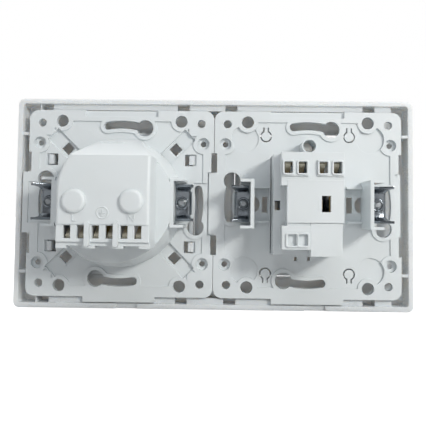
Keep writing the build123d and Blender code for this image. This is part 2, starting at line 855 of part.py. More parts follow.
# Spreader claws: bent sheet with two teeth, and the screw that draws them forwards
def spreader_claw(centre, side, name):
    """Claw on one side of a module, nearest the wall box."""
    inner = pocket_inner + loose - claw_place
    web_front = claw_web_rear - claw_sheet
    outline = (
        (inner, web_front), *claw_tooth, (claw_web_outer, claw_web_rear + loose),
        (claw_web_outer, web_front),
    )
    screw_axis = centre + side * claw_place
    with BuildPart() as claw:
        with BuildSketch(Plane.XY):
            with BuildLine():
                Polyline(*((screw_axis + side * x, depth) for x, depth in outline), close=True)
            make_face()
        extrude(amount=claw_half_height, both=True)
        add(
            block(screw_axis, (-plate_size, plate_size),
                  (claw_sheet - claw_half_height, claw_half_height - claw_sheet),
                  (claw_web_rear, claw_tooth[2][1])),
            mode=Mode.SUBTRACT,
        )
        add(
            block(screw_axis, (side * (claw_web_outer - claw_sheet), side * (claw_web_outer + claw_sheet)),
                  (-claw_lip_half, claw_lip_half), (claw_lip_front, claw_web_rear))
        )
        with BuildSketch(facing_room(screw_axis, claw_web_rear)):
            Circle(claw_screw_radius + running)
        extrude(amount=claw_sheet, mode=Mode.SUBTRACT)
    write(claw.part, name)


for module, centre in (("socket", socket_centre), ("switch", switch_centre)):
    for side, hand in ((-1, "left"), (1, "right")):
        spreader_claw(centre, side, f"{module}_claw_{hand}")
        screw(
            f"{module}_claw_screw_{hand}", (centre + side * claw_place, 0), -plate_thickness - running,
            claw_screw_end, claw_head_radius, claw_head_height,
        )


# Switch yoke: mounting plate with the opening for the housing, claw guides and a channel on each side
def snap_slots():
    """Round slots with two legs towards the edge of the plate, one in each corner."""
    half_gap = snap_gap_angle / 2
    with BuildSketch() as outline:
        with BuildLine():
            ring = CenterArc((0, 0), snap_radius, 90 + half_gap, 360 - snap_gap_angle)
            for end in (ring @ 0, ring @ 1):
                Line(end, end + Vector(0, snap_leg))
        trace(line_width=snap_slit)
    x, z = snap_place
    return [
        Pos(side * x, height * z) * Rot(0, 0, 90 - height * 90) * outline.sketch
        for side in (1, -1) for height in (1, -1)
    ]


with BuildPart() as switch_yoke:
    add(mounting_plate(switch_centre))
    wall_side = facing_room(switch_centre, 0)
    with BuildSketch(wall_side):
        Rectangle(2 * guide_inner, 2 * channel_half_height)
        Rectangle(2 * channel_start, 2 * channel_half_height, mode=Mode.SUBTRACT)
    extrude(amount=channel_floor, mode=Mode.SUBTRACT)
    with BuildSketch(wall_side):
        with four_corners(*pad_place):
            Circle(pad_radius)
        add(keyholes(keyhole_lip), mode=Mode.SUBTRACT)
        with four_corners(*hole_pattern):
            Circle(hole_rim, mode=Mode.SUBTRACT)
    extrude(amount=pad_depth, mode=Mode.SUBTRACT)
    with BuildSketch(wall_side):
        with Locations((channel_hole_place, 0), (-channel_hole_place, 0)):
            Circle(channel_hole_radius)
        Rectangle(2 * guide_inner, 2 * channel_hole_radius, mode=Mode.INTERSECT)
        with Locations((channel_slot_place, 0), (-channel_slot_place, 0)):
            Rectangle(*channel_slot)
        with Locations(*small_slot_places):
            Rectangle(*small_slot)
        add(snap_slots())
    extrude(amount=plate_thickness, mode=Mode.SUBTRACT)
    with BuildSketch(facing_room(switch_centre, channel_rise)):
        with four_corners((channel_start + guide_inner) / 2, channel_half_height + channel_rib / 2):
            Rectangle(guide_inner - channel_start, channel_rib)
    extrude(amount=channel_rise + plate_thickness / 2)
    add(claw_guides(switch_centre))
    with BuildSketch(facing_room(switch_centre, lamp_post_end)):
        with Locations(lamp_post):
            Circle(lamp_post_hole + lamp_post_wall)
    extrude(amount=lamp_post_end + plate_thickness / 2)
    with BuildSketch(facing_room(switch_centre, lamp_post_end)):
        with Locations(lamp_post):
            Circle(lamp_post_hole)
    extrude(amount=lamp_post_end + plate_thickness, mode=Mode.SUBTRACT)
    with BuildSketch(wall_side):
        add(area(*([span[0] - loose, span[1] + loose] for span in housing_foot)))
    extrude(amount=plate_thickness, mode=Mode.SUBTRACT)
write(switch_yoke.part, "switch_yoke")

# Switch housing: a box of stepped blocks, open to the room, clipped through the yoke
flange_rear = -plate_thickness - running
flange_front = flange_rear - flange_thickness
mechanism = switch_centre + mechanism_shift
cheek_outer = cradle_half_width
ear_inner = cheek_outer + loose
stop_depth = seesaw_depth + stop_span[1] * tan(radians(seesaw_tilt)) + loose

with BuildPart() as switch_housing:
    add(block(switch_centre, *housing_foot, (flange_rear, housing_foot_depth)))
    add(block(switch_centre, *upper_block, (0, upper_depth)))
    add(block(switch_centre, *centre_block, (0, centre_depth)))
    add(block(switch_centre, *core_block, (0, core_depth)))
    add(block(switch_centre, *blank_block, (0, upper_depth)))
    add(block(switch_centre, *lower_block, (0, lower_depth)))
    for boss_span in boss_spans:
        add(block(switch_centre, boss_span, terminal_boss, (housing_back, terminal_depth)))
    add(
        block(switch_centre, *([span[0] - flange_margin, span[1] + flange_margin] for span in housing_foot),
              (flange_front, flange_rear))
    )
    for side in (1, -1):
        ear = mechanism_shift + side * ear_inner
        add(
            block(switch_centre, (ear, ear + side * ear_thickness), (-ear_half_height, ear_half_height),
                  (ear_front, flange_rear))
        )
    # core cavity, and above it one terminal chamber for each contact
    add(block(switch_centre, *core_cavity, (flange_front, housing_back)), mode=Mode.SUBTRACT)
    for chamber in terminal_cavities:
        add(
            block(switch_centre, chamber, (core_cavity[1][1], terminal_cavity_top),
                  (flange_front, housing_back)),
            mode=Mode.SUBTRACT,
        )
    add(
        block(mechanism, (-stop_half_width, stop_half_width), stop_span, (stop_depth, housing_back))
    )
    with BuildSketch(side_view(mechanism)):
        with Locations((pivot_depth, 0)):
            Circle(trunnion_radius + running)
    extrude(amount=ear_inner + ear_thickness, both=True, mode=Mode.SUBTRACT)
    # wire entries, test slot, blank pockets and the openings in the low part
    with BuildSketch(facing_room(switch_centre, terminal_depth)):
        with Locations(*((entry_centre, entry_place) for entry_centre in entry_centres)):
            with GridLocations(entry_pitch, 0, 2, 1):
                Rectangle(*entry_hole)
        with Locations(test_slot_place):
            Rectangle(*test_slot)
    extrude(amount=terminal_depth - housing_back, mode=Mode.SUBTRACT)
    with BuildSketch(facing_room(switch_centre, upper_depth)):
        with Locations(*((place, blank_entry_place) for place in blank_entry_centres)):
            Rectangle(*blank_entry)
    extrude(amount=blank_entry_depth, mode=Mode.SUBTRACT)
    with BuildSketch(facing_room(switch_centre, housing_foot_depth)):
        with Locations(foot_window):
            Rectangle(*foot_window_size)
        with Locations(foot_slot):
            Rectangle(*foot_slot_size)
    extrude(amount=housing_foot_depth - flange_front, mode=Mode.SUBTRACT)
write(switch_housing.part, "switch_housing")

# Rocker and its cradle, drawn level and then tilted to the off position
rocker_axis = Axis((switch_centre, pivot_depth, 0), (1, 0, 0))
rocker_rear = rocker_front + rocker_skin
cradle_rear = rocker_rear + cradle_plate

with BuildPart() as rocker:
    with BuildSketch(facing_room(switch_centre, rocker_skirt_end)):
        RectangleRounded(rocker_width, rocker_height, rocker_corner)
    extrude(amount=rocker_skirt_end - rocker_front)
    fillet(rocker.faces().sort_by(Axis.Y)[0].edges(), rocker_wall / 2)
    with BuildSketch(facing_room(switch_centre, rocker_skirt_end)):
        Rectangle(rocker_width - 2 * rocker_wall, rocker_height - 2 * rocker_wall)
    extrude(amount=rocker_skirt_end - rocker_rear, mode=Mode.SUBTRACT)
    for side in (1, -1):
        rib = side * (cradle_half_height + running)
        add(
            block(mechanism, (-cradle_half_width, cradle_half_width), (rib, rib + side * rocker_wall),
                  (rocker_rear, cradle_rear + loose))
        )
write(rocker.part.rotate(rocker_axis, rest_tilt), "rocker")

with BuildPart() as rocker_cradle:
    add(
        block(mechanism, (-cradle_half_width, cradle_half_width), (-cradle_half_height, cradle_half_height),
              (rocker_rear, cradle_rear))
    )
    for side in (1, -1):
        with BuildSketch(side_view(mechanism + side * (cradle_half_width - cheek_thickness / 2))):
            with Locations((pivot_depth, 0)):
                Circle(cheek_radius)
            with Locations(((pivot_depth + cradle_rear) / 2, 0)):
                Rectangle(pivot_depth - cradle_rear, 2 * cheek_radius)
        extrude(amount=cheek_thickness / 2, both=True)
    with BuildSketch(side_view(mechanism)):
        with Locations((pivot_depth, 0)):
            Circle(trunnion_radius)
    extrude(amount=cradle_half_width + trunnion_length, both=True)
    add(
        block(mechanism, (cheek_thickness - cradle_half_width, cradle_half_width - cheek_thickness),
              (-cheek_radius, cheek_radius), (cradle_rear, tube_end)),
        mode=Mode.SUBTRACT,
    )
    with BuildSketch(facing_room(mechanism, tube_end)):
        Circle(tube_radius)
    extrude(amount=tube_end - cradle_rear)
    with BuildSketch(facing_room(mechanism, tube_end)):
        Circle(plunger_radius + running)
    extrude(amount=tube_end - cradle_rear, mode=Mode.SUBTRACT)
write(rocker_cradle.part.rotate(rocker_axis, rest_tilt), "rocker_cradle")

tip_centre = seesaw_depth - sheet - loose - plunger_tip
plunger_back = tip_centre - plunger_length
with BuildPart() as plunger:
    with BuildSketch(facing_room(mechanism, tip_centre - plunger_tip)):
        Circle(plunger_radius)
    extrude(amount=plunger_length - plunger_tip)
    with BuildSketch(facing_room(mechanism, tip_centre)):
        Circle(plunger_tip)
    extrude(amount=2 * plunger_tip)
    with Locations((mechanism, tip_centre, 0)):
        Sphere(plunger_tip)
write(plunger.part.rotate(rocker_axis, rest_tilt), "plunger")

plunger_spring = coil(
    (mechanism, cradle_rear + spring_wire / 2 + running, 0), (0, 1, 0),
    plunger_back - cradle_rear - spring_wire - 2 * running, plunger_spring_radius, plunger_spring_turns,
)
write(plunger_spring.rotate(rocker_axis, rest_tilt), "plunger_spring")

# Seesaw with its rivet, drawn level and then tilted so that the contact is open
seesaw_axis = Axis((mechanism, seesaw_depth, 0), (1, 0, 0))
with BuildPart() as seesaw:
    add(
        block(mechanism, (-seesaw_half_width, seesaw_half_width), seesaw_span,
              (seesaw_depth - sheet, seesaw_depth))
    )
    with BuildSketch(side_view(mechanism)):
        with Locations((seesaw_depth, 0)):
            Circle(fulcrum_radius + running)
    extrude(amount=seesaw_half_width, both=True, mode=Mode.SUBTRACT)
    with BuildSketch(facing_room(mechanism, seesaw_depth)):
        with Locations((0, rivet_place)):
            Circle(rivet_shank + running / 2)
    extrude(amount=sheet, mode=Mode.SUBTRACT)
write(seesaw.part.rotate(seesaw_axis, -seesaw_tilt), "seesaw")


def rivet(depth, height, side, head):
    """Contact rivet; side is 1 when its contact looks at the wall box, and -1 when it looks at the room."""
    with BuildPart() as piece:
        with BuildSketch(facing_room(mechanism, depth, height)):
            Circle(rivet_radius)
        extrude(amount=-side * head)
        chamfer(piece.faces().sort_by(Axis.Y)[-1 if side > 0 else 0].edges(), loose)
        with BuildSketch(facing_room(mechanism, depth, height)):
            Circle(rivet_shank)
        extrude(amount=side * sheet)
    return piece


moving_rivet = rivet(seesaw_depth, rivet_place, 1, rivet_head)
with BuildPart() as peened_rivet:
    add(moving_rivet.part)
    with BuildSketch(facing_room(mechanism, seesaw_depth - sheet, rivet_place)):
        Circle(rivet_shank + rivet_peen)
    extrude(amount=rivet_peen)
write(peened_rivet.part.rotate(seesaw_axis, -seesaw_tilt), "moving_rivet")

# Contacts of the switch, laid on the bottom of the housing
contact_rear_face = housing_back - running
contact_front_face = contact_rear_face - sheet
closed_face = seesaw_depth + sin(radians(seesaw_tilt)) * -rivet_place + rivet_head
fixed_rivet = rivet(contact_front_face, rivet_place, -1, contact_front_face - closed_face - contact_gap)
write(fixed_rivet.part, "fixed_rivet")

with BuildPart() as common_contact:
    floor_span = (contact_front_face, contact_rear_face)
    add(block(switch_centre, common_foot, (-common_foot_half, common_foot_half), floor_span))
    add(block(switch_centre, common_arm, (-common_foot_half, terminal_busbar), floor_span))
    add(
        block(switch_centre, common_busbar, (terminal_busbar - sheet / 2, terminal_busbar + sheet / 2),
              (terminal_front, contact_rear_face))
    )
    with BuildSketch(side_view(mechanism)):
        with Locations((seesaw_depth, 0)):
            Circle(fulcrum_radius)
        with Locations(((seesaw_depth + contact_front_face) / 2, 0)):
            Rectangle(contact_front_face - seesaw_depth, 2 * fulcrum_radius)
    extrude(amount=seesaw_half_width - running, both=True)
write(common_contact.part, "common_contact")

with BuildPart() as switched_contact:
    pad_span = (switched_strip[0], mechanism_shift + seesaw_half_width)
    add(block(switch_centre, pad_span, switched_pad, floor_span))
    add(block(switch_centre, switched_strip, (switched_pad[0], terminal_busbar), floor_span))
    add(
        block(switch_centre, switched_busbar, (terminal_busbar - sheet / 2, terminal_busbar + sheet / 2),
              (terminal_front, contact_rear_face))
    )
    with BuildSketch(facing_room(mechanism, contact_rear_face, rivet_place)):
        Circle(rivet_shank + running / 2)
    extrude(amount=sheet, mode=Mode.SUBTRACT)
write(switched_contact.part, "switched_contact")

clamp_ceiling = terminal_cavity_top - running - leaf / 2
for entry_centre, name in zip(entry_centres, ("common_clamp", "switched_clamp")):
    wire_clamp(
        name, switch_centre + entry_centre, entry_pitch, housing_back - loose, clamp_ceiling,
        terminal_busbar + sheet / 2 + loose,
    )
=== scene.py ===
"""Looks of a flush-mounted switch and socket combination, seen from behind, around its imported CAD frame."""

import logging
import math
from dataclasses import dataclass
from enum import Enum
from typing import Any, Callable

import bmesh
import bpy
from mathutils import Matrix, Quaternion, Vector


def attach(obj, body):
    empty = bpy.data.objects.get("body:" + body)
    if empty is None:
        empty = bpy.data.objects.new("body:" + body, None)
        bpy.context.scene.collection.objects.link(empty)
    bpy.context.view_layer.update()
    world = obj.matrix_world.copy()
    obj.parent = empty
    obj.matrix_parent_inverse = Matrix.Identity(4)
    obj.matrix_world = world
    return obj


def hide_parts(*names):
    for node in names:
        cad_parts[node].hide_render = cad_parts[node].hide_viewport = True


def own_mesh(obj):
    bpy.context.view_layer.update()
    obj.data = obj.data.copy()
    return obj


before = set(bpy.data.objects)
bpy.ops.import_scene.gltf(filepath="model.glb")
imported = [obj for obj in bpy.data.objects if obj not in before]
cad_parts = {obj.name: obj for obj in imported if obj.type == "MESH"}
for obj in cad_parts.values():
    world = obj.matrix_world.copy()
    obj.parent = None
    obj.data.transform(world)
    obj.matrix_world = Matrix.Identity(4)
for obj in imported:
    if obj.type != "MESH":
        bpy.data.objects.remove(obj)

LOG = logging.getLogger("switch_and_socket")
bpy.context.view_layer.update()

# One millimetre in scene units. Sizes are in millimetres where nothing else is said.
MM = 0.001
# How far a corner may be from a place to count as lying there.
NEAR = 0.01
# Rotation of a primitive that faces up, so that it faces along the depth of the unit.
ALONG_DEPTH = (math.radians(90), 0, 0)
# Edges that bend more than this stay sharp.
SMOOTH_ANGLE = math.radians(32)
# Share of the fine grain in the roughness, beside the slow drift, and the range of their sum that is used.
GRAIN_SHARE = 0.35
GRAIN_RANGE = (0.4, 0.95)


class Side(Enum):
    """Which way a piece lies from the middle of its module, along X."""

    LEFT = -1
    RIGHT = 1


class Element(Enum):
    """Kinds of mesh elements that are picked."""

    CORNER = "VERT"
    EDGE = "EDGE"
    FACE = "FACE"


class Gang(Enum):
    """The two modules by their middle, in millimetres along X."""

    SOCKET = 35.5
    SWITCH = -35.5


def linear(hex_colour: str) -> tuple[float, float, float, float]:
    """Turns an sRGB hex colour into linear light.

    Args:
        hex_colour: Six hex digits with a leading hash.

    Returns:
        Red, green, blue and an alpha of one.
    """
    channels = [int(hex_colour[i : i + 2], 16) / 255 for i in (1, 3, 5)]
    bent = [c / 12.92 if c <= 0.04045 else ((c + 0.055) / 1.055) ** 2.4 for c in channels]
    return (*bent, 1.0)


def add_node(
    tree: bpy.types.NodeTree,
    kind: str,
    values: dict[str | int, Any] | None = None,
    links: dict[str | int, bpy.types.NodeSocket] | None = None,
    **settings: Any,
) -> bpy.types.Node:
    """Adds one node with its settings, socket values and incoming links.

    Args:
        tree: Node tree that gets the node.
        kind: Blender's name of the node type.
        values: Input sockets by name or number, and what they are set to.
        links: Input sockets by name or number, and the output that feeds each.
        settings: Properties of the node itself.

    Returns:
        The new node.
    """
    node = tree.nodes.new(kind)
    for name, value in settings.items():
        setattr(node, name, value)
    for name, value in (values or {}).items():
        node.inputs[name].default_value = value
    for name, output in (links or {}).items():
        tree.links.new(output, node.inputs[name])
    return node


def per_mm(size: float) -> float:
    """Gives the texture scale at which one cell of a pattern is so many millimetres wide."""
    return 1 / (size * MM)


@dataclass(frozen=True)
class Finish:
    """A surface finish: what the real material is, and how it was made.

    Attributes:
        name: Name of the material in the file.
        low: Darker colour of its slow colour variation.
        high: Lighter colour of its slow colour variation.
        drift_mm: Size of that variation.
        grain_mm: Size of the fine relief.
        relief_mm: Height of the fine relief.
        rough: Lowest and highest roughness.
        metallic: One for bare metal.
        edge_mm: Radius that the light sees on each edge.
    """

    name: str
    low: str
    high: str
    drift_mm: float
    grain_mm: float
    relief_mm: float
    rough: tuple[float, float]
    metallic: float = 0.0
    edge_mm: float = 0.12

    def coordinates(self, tree: bpy.types.NodeTree) -> bpy.types.NodeSocket:
        """Gives the object's own coordinates, in metres."""
        return add_node(tree, "ShaderNodeTexCoord").outputs["Object"]

    def pattern(self, tree: bpy.types.NodeTree, place: bpy.types.NodeSocket) -> bpy.types.NodeSocket:
        """Makes the fine relief, an even grain unless a finish has its own.

        Args:
            tree: Node tree of the material.
            place: Coordinates of the surface.

        Returns:
            The relief's height.
        """
        grain = add_node(
            tree, "ShaderNodeTexNoise",
            {"Scale": per_mm(self.grain_mm), "Detail": 3.0, "Roughness": 0.5}, {"Vector": place},
        )
        return grain.outputs["Fac"]

    def dress(self, shader: bpy.types.Node) -> None:
        """Sets what only this finish has on its shader, and nothing in a plain finish."""

    def build(self) -> bpy.types.Material:
        """Builds the material once.

        Returns:
            The material, new or made before.
        """
        made = bpy.data.materials.get(self.name)
        if made:
            return made
        made = bpy.data.materials.new(self.name)
        made.use_nodes = True
        tree = made.node_tree
        tree.nodes.clear()
        place = self.coordinates(tree)
        drift = add_node(
            tree, "ShaderNodeTexNoise", {"Scale": per_mm(self.drift_mm), "Detail": 2.0}, {"Vector": place}
        )
        grain = self.pattern(tree, place)
        colour = add_node(
            tree, "ShaderNodeMix", {6: linear(self.low), 7: linear(self.high)}, {0: drift.outputs["Fac"]},
            data_type="RGBA",
        )
        mixed = add_node(
            tree, "ShaderNodeMath", {1: GRAIN_SHARE}, {0: grain, 2: drift.outputs["Fac"]},
            operation="MULTIPLY_ADD",
        )
        rough = add_node(
            tree, "ShaderNodeMapRange",
            {
                "From Min": GRAIN_RANGE[0], "From Max": GRAIN_RANGE[1],
                "To Min": self.rough[0], "To Max": self.rough[1],
            },
            {"Value": mixed.outputs[0]},
        )
        edge = add_node(tree, "ShaderNodeBevel", {"Radius": self.edge_mm * MM}, samples=4)
        bump = add_node(
            tree, "ShaderNodeBump", {"Strength": 1.0, "Distance": self.relief_mm * MM},
            {"Height": grain, "Normal": edge.outputs["Normal"]},
        )
        shader = add_node(
            tree, "ShaderNodeBsdfPrincipled", {"Metallic": self.metallic},
            {
                "Base Color": colour.outputs[2], "Roughness": rough.outputs["Result"],
                "Normal": bump.outputs["Normal"],
            },
        )
        self.dress(shader)
        add_node(tree, "ShaderNodeOutputMaterial", links={"Surface": shader.outputs["BSDF"]})
        return made


@dataclass(frozen=True)
class Moulded(Finish):
    """Injection-moulded plastic. Some light goes into it, which softens its shadows.

    Attributes:
        depth_mm: How deep the light goes.
        share: Share of the light that goes in.
    """

    depth_mm: float = 0.6
    share: float = 0.12

    def dress(self, shader: bpy.types.Node) -> None:
        """Lets some light into the plastic, where blue is lost first.

        Args:
            shader: Shader of the material.
        """
        shader.inputs["IOR"].default_value = 1.54
        shader.inputs["Subsurface Weight"].default_value = self.share
        shader.inputs["Subsurface Radius"].default_value = (1.0, 0.9, 0.8)
        shader.inputs["Subsurface Scale"].default_value = self.depth_mm * MM


@dataclass(frozen=True)
class Backdrop(Finish):
    """Matt studio paper that is lit from behind, so that it looks white up to the horizon.

    Attributes:
        glow: Strength of the light that comes through.
    """

    glow: float = 0.75

    def dress(self, shader: bpy.types.Node) -> None:
        """Lets the light through the paper, without lighting the object from below.

        Args:
            shader: Shader of the material.
        """
        tree = shader.id_data
        seen = add_node(tree, "ShaderNodeLightPath").outputs["Is Camera Ray"]
        glow = add_node(tree, "ShaderNodeMath", {1: self.glow}, {0: seen}, operation="MULTIPLY")
        shader.inputs["Emission Color"].default_value = (1.0, 1.0, 1.0, 1.0)
        tree.links.new(glow.outputs[0], shader.inputs["Emission Strength"])


@dataclass(frozen=True)
class Plated(Finish):
    """Metal with a bright skin, whose crystals break its reflections into small patches.

    Attributes:
        crystal_mm: Size of a crystal.
    """

    crystal_mm: float = 0.9

    def pattern(self, tree: bpy.types.NodeTree, place: bpy.types.NodeSocket) -> bpy.types.NodeSocket:
        """Mixes crystals with fine grain.

        Args:
            tree: Node tree of the material.
            place: Coordinates of the surface.

        Returns:
            The relief's height.
        """
        crystals = add_node(
            tree, "ShaderNodeTexVoronoi", {"Scale": per_mm(self.crystal_mm), "Randomness": 1.0},
            {"Vector": place},
        )
        grain = add_node(
            tree, "ShaderNodeTexNoise", {"Scale": per_mm(self.grain_mm), "Detail": 4.0}, {"Vector": place}
        )
        both = add_node(
            tree, "ShaderNodeMath", {1: 0.5}, {0: crystals.outputs["Distance"], 2: grain.outputs["Fac"]},
            operation="MULTIPLY_ADD",
        )
        return both.outputs[0]


@dataclass(frozen=True)
class Rolled(Finish):
    """Rolled or drawn metal, with the lines of the tool along it.

    Attributes:
        stretch: Scale of the grain along X, Y and Z.
    """

    stretch: tuple[float, float, float] = (1.0, 0.08, 1.0)

    def pattern(self, tree: bpy.types.NodeTree, place: bpy.types.NodeSocket) -> bpy.types.NodeSocket:
        """Makes lines by stretching the grain along the depth of the unit.

        Args:
            tree: Node tree of the material.
            place: Coordinates of the surface.

        Returns:
            The relief's height.
        """
        along = add_node(tree, "ShaderNodeMapping", {"Scale": self.stretch}, {"Vector": place})
        lines = add_node(
            tree, "ShaderNodeTexNoise", {"Scale": per_mm(self.grain_mm), "Detail": 4.0},
            {"Vector": along.outputs["Vector"]},
        )
        return lines.outputs["Fac"]


# White polycarbonate, gloss moulded. The eye sees a clean cool white whose gloss is a little uneven, and warm
# light that comes through the thin walls into the holes behind.
WHITE_PC = Moulded(
    "polycarbonate_white_gloss", "#DADEE1", "#DEE2E4", drift_mm=22.0, grain_mm=0.5, relief_mm=0.002,
    rough=(0.24, 0.32), depth_mm=4.0, share=0.6,
)
# White polyamide of the inner bases, moulded from a spark-eroded tool, which leaves it slightly matt.
WHITE_PA = Moulded(
    "polyamide_white_eroded", "#D4DADC", "#DADFE2", drift_mm=14.0, grain_mm=0.3, relief_mm=0.006,
    rough=(0.34, 0.48),
)
# Grey glass-filled polyamide of the moving inner pieces, with faint flow marks.
GREY_PA = Moulded(
    "polyamide_grey_glass_filled", "#A9AEB1", "#B9BDBF", drift_mm=5.0, grain_mm=0.25, relief_mm=0.008,
    rough=(0.45, 0.6), share=0.03,
)
# Zinc-plated sheet steel of the claws, bright blue-white in life. Its colour is set far darker than zinc's,
# which paints the dark reflections of the claws.
ZINC_SHEET_DARKENED = Plated(
    "sheet_steel_zinc_plated", "#666D74", "#A0A6AC", drift_mm=3.0, grain_mm=0.2, relief_mm=0.01,
    rough=(0.12, 0.26), metallic=1.0, edge_mm=0.2,
)
# Zinc-plated screws, cold headed, a little duller than the sheet.
ZINC_SCREW = Plated(
    "screw_steel_zinc_plated", "#9CA2A7", "#B9BDC0", drift_mm=2.0, grain_mm=0.15, relief_mm=0.006,
    rough=(0.26, 0.42), metallic=1.0, edge_mm=0.1, crystal_mm=0.4,
)
# Rolled brass strip of the contacts, with warm lines along it.
BRASS = Rolled(
    "strip_brass_rolled", "#B99A5B", "#D3B775", drift_mm=4.0, grain_mm=0.12, relief_mm=0.003,
    rough=(0.25, 0.42), metallic=1.0, edge_mm=0.1,
)
# Tinned spring bronze of the wire clamps, a pale cream metal.
CLAMP_METAL = Rolled(
    "spring_bronze_tinned", "#EDE3CB", "#F7F0DD", drift_mm=3.0, grain_mm=0.1, relief_mm=0.002,
    rough=(0.45, 0.6), metallic=0.2, edge_mm=0.08,
)
# Drawn spring steel wire, grey and fairly bright.
SPRING_WIRE = Rolled(
    "wire_spring_steel_drawn", "#8E9295", "#A9ACAE", drift_mm=2.0, grain_mm=0.08, relief_mm=0.002,
    rough=(0.25, 0.4), metallic=1.0, edge_mm=0.05,
)
# Silver alloy of the contact rivets, soft and bright.
SILVER = Plated(
    "rivet_silver_alloy", "#CFCFCB", "#E3E3E0", drift_mm=1.5, grain_mm=0.1, relief_mm=0.002,
    rough=(0.2, 0.32), metallic=1.0, edge_mm=0.08, crystal_mm=0.3,
)
# Pale matt paper of the studio floor.
PALE_PAPER = Backdrop(
    "floor_paper_pale", "#BDBDBD", "#C2C2C2", drift_mm=60.0, grain_mm=2.0, relief_mm=0.01, rough=(0.7, 0.85)
)


def shade(piece: bpy.types.Object, finish: Finish) -> None:
    """Gives a piece one finish all over."""
    piece.data.materials.clear()
    piece.data.materials.append(finish.build())


def dress_node(name: str, finish: Finish) -> None:
    """Gives a CAD node its finish and reports it."""
    shade(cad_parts[name], finish)
    LOG.info("CAD node %s: %s", name, finish.name)


def deselect() -> None:
    """Leaves edit mode if it is on, and no object selected."""
    if bpy.context.object and bpy.context.object.mode != "OBJECT":
        bpy.ops.object.mode_set(mode="OBJECT")
    bpy.ops.object.select_all(action="DESELECT")


def activate(piece: bpy.types.Object) -> None:
    """Selects one piece alone and makes it the active one.

    Args:
        piece: Piece on which the next operators work.
    """
    deselect()
    piece.select_set(True)
    bpy.context.view_layer.objects.active = piece


def place_in_mesh(piece: bpy.types.Object) -> bpy.types.Object:
    """Puts a piece's place, turn and size into its mesh.

    Args:
        piece: Piece that may be placed, turned and scaled as an object.

    Returns:
        The same piece, now at the origin.
    """
    activate(piece)
    bpy.ops.object.transform_apply(location=True, rotation=True, scale=True)
    return piece


def open_mesh(piece: bpy.types.Object) -> None:
    """Opens one piece in edit mode."""
    activate(piece)
    bpy.ops.object.mode_set(mode="EDIT")


def close_mesh(turn_out: bool = True) -> None:
    """Leaves edit mode.

    Args:
        turn_out: Whether all faces are first turned outwards.
    """
    if turn_out:
        select_everything()
        bpy.ops.mesh.normals_make_consistent(inside=False)
    bpy.ops.object.mode_set(mode="OBJECT")


def select_everything() -> None:
    """Selects the whole open mesh."""
    bpy.ops.mesh.select_all(action="SELECT")


def pick(piece: bpy.types.Object, element: Element, fits: Callable[[Vector], bool]) -> None:
    """Selects the elements of an open mesh whose corners all fit a place.

    Args:
        piece: Piece in edit mode, with its place in its mesh.
        element: Kind of element.
        fits: Test of a corner's place in millimetres.
    """
    bpy.ops.mesh.select_mode(type=element.value)
    bpy.ops.mesh.select_all(action="DESELECT")
    mesh = bmesh.from_edit_mesh(piece.data)
    parts = {Element.CORNER: mesh.verts, Element.EDGE: mesh.edges, Element.FACE: mesh.faces}[element]
    for part in parts:
        corners = [part] if element is Element.CORNER else part.verts
        if all(fits(corner.co / MM) for corner in corners):
            part.select_set(True)
    mesh.select_flush_mode()
    bmesh.update_edit_mesh(piece.data)


def near(value: float, place: float) -> bool:
    """Tells whether a coordinate lies at a place."""
    return abs(value - place) < NEAR


def draw_out(along: Vector) -> None:
    """Extrudes what is selected by so many millimetres."""
    bpy.ops.mesh.extrude_region_move(TRANSFORM_OT_translate={"value": along * MM})


def shift(along: Vector) -> None:
    """Moves what is selected by so many millimetres."""
    bpy.ops.transform.translate(value=along * MM)


def weld(within: float) -> None:
    """Merges the corners of the whole open mesh that lie within so many millimetres."""
    select_everything()
    bpy.ops.mesh.remove_doubles(threshold=within * MM)


def cap_holes(sides: int = 0) -> None:
    """Closes the holes of the whole open mesh that have up to so many sides, or all with zero."""
    select_everything()
    bpy.ops.mesh.fill_holes(sides=sides)


def modify(piece: bpy.types.Object, kind: str, **settings: Any) -> None:
    """Adds one modifier to a piece and applies it.

    Args:
        piece: The active piece, in object mode.
        kind: Blender's name of the modifier type.
        settings: Properties of the modifier.
    """
    modifier = piece.modifiers.new(kind.lower(), kind)
    for name, value in settings.items():
        setattr(modifier, name, value)
    bpy.ops.object.modifier_apply(modifier=modifier.name)


def join(pieces: list[bpy.types.Object]) -> bpy.types.Object:
    """Joins pieces into the first of them.

    Args:
        pieces: Pieces with their places in their meshes.

    Returns:
        The first piece, which now holds all the meshes.
    """
    activate(pieces[0])
    for piece in pieces[1:]:
        piece.select_set(True)
    bpy.ops.object.join()
    return pieces[0]


def copy_of(model: bpy.types.Object, along: Vector, mirrored: bool = False) -> bpy.types.Object:
    """Copies a piece with its mesh, and moves the copy.

    Args:
        model: Piece that is copied.
        along: Way in millimetres.
        mirrored: Whether the copy is the other hand, mirrored along X.

    Returns:
        The copy, with its place in its mesh.
    """
    activate(model)
    bpy.ops.object.duplicate(linked=False)
    copy = bpy.context.object
    if mirrored:
        bpy.ops.transform.resize(value=(-1, 1, 1), center_override=(0, 0, 0))
    shift(along)
    place_in_mesh(copy)
    open_mesh(copy)
    close_mesh()
    return copy


def remove(piece: bpy.types.Object) -> None:
    """Deletes a model or a tool that isn't part of the object.

    Args:
        piece: What is deleted.
    """
    deselect()
    piece.select_set(True)
    bpy.ops.object.delete()


def cut_with(piece: bpy.types.Object, tool: bpy.types.Object) -> None:
    """Cuts a tool out of a piece and deletes the tool.

    Args:
        piece: Closed mesh that is cut.
        tool: Closed mesh of what goes away.
    """
    activate(piece)
    modify(piece, "BOOLEAN", operation="DIFFERENCE", object=tool, solver="EXACT")
    remove(tool)


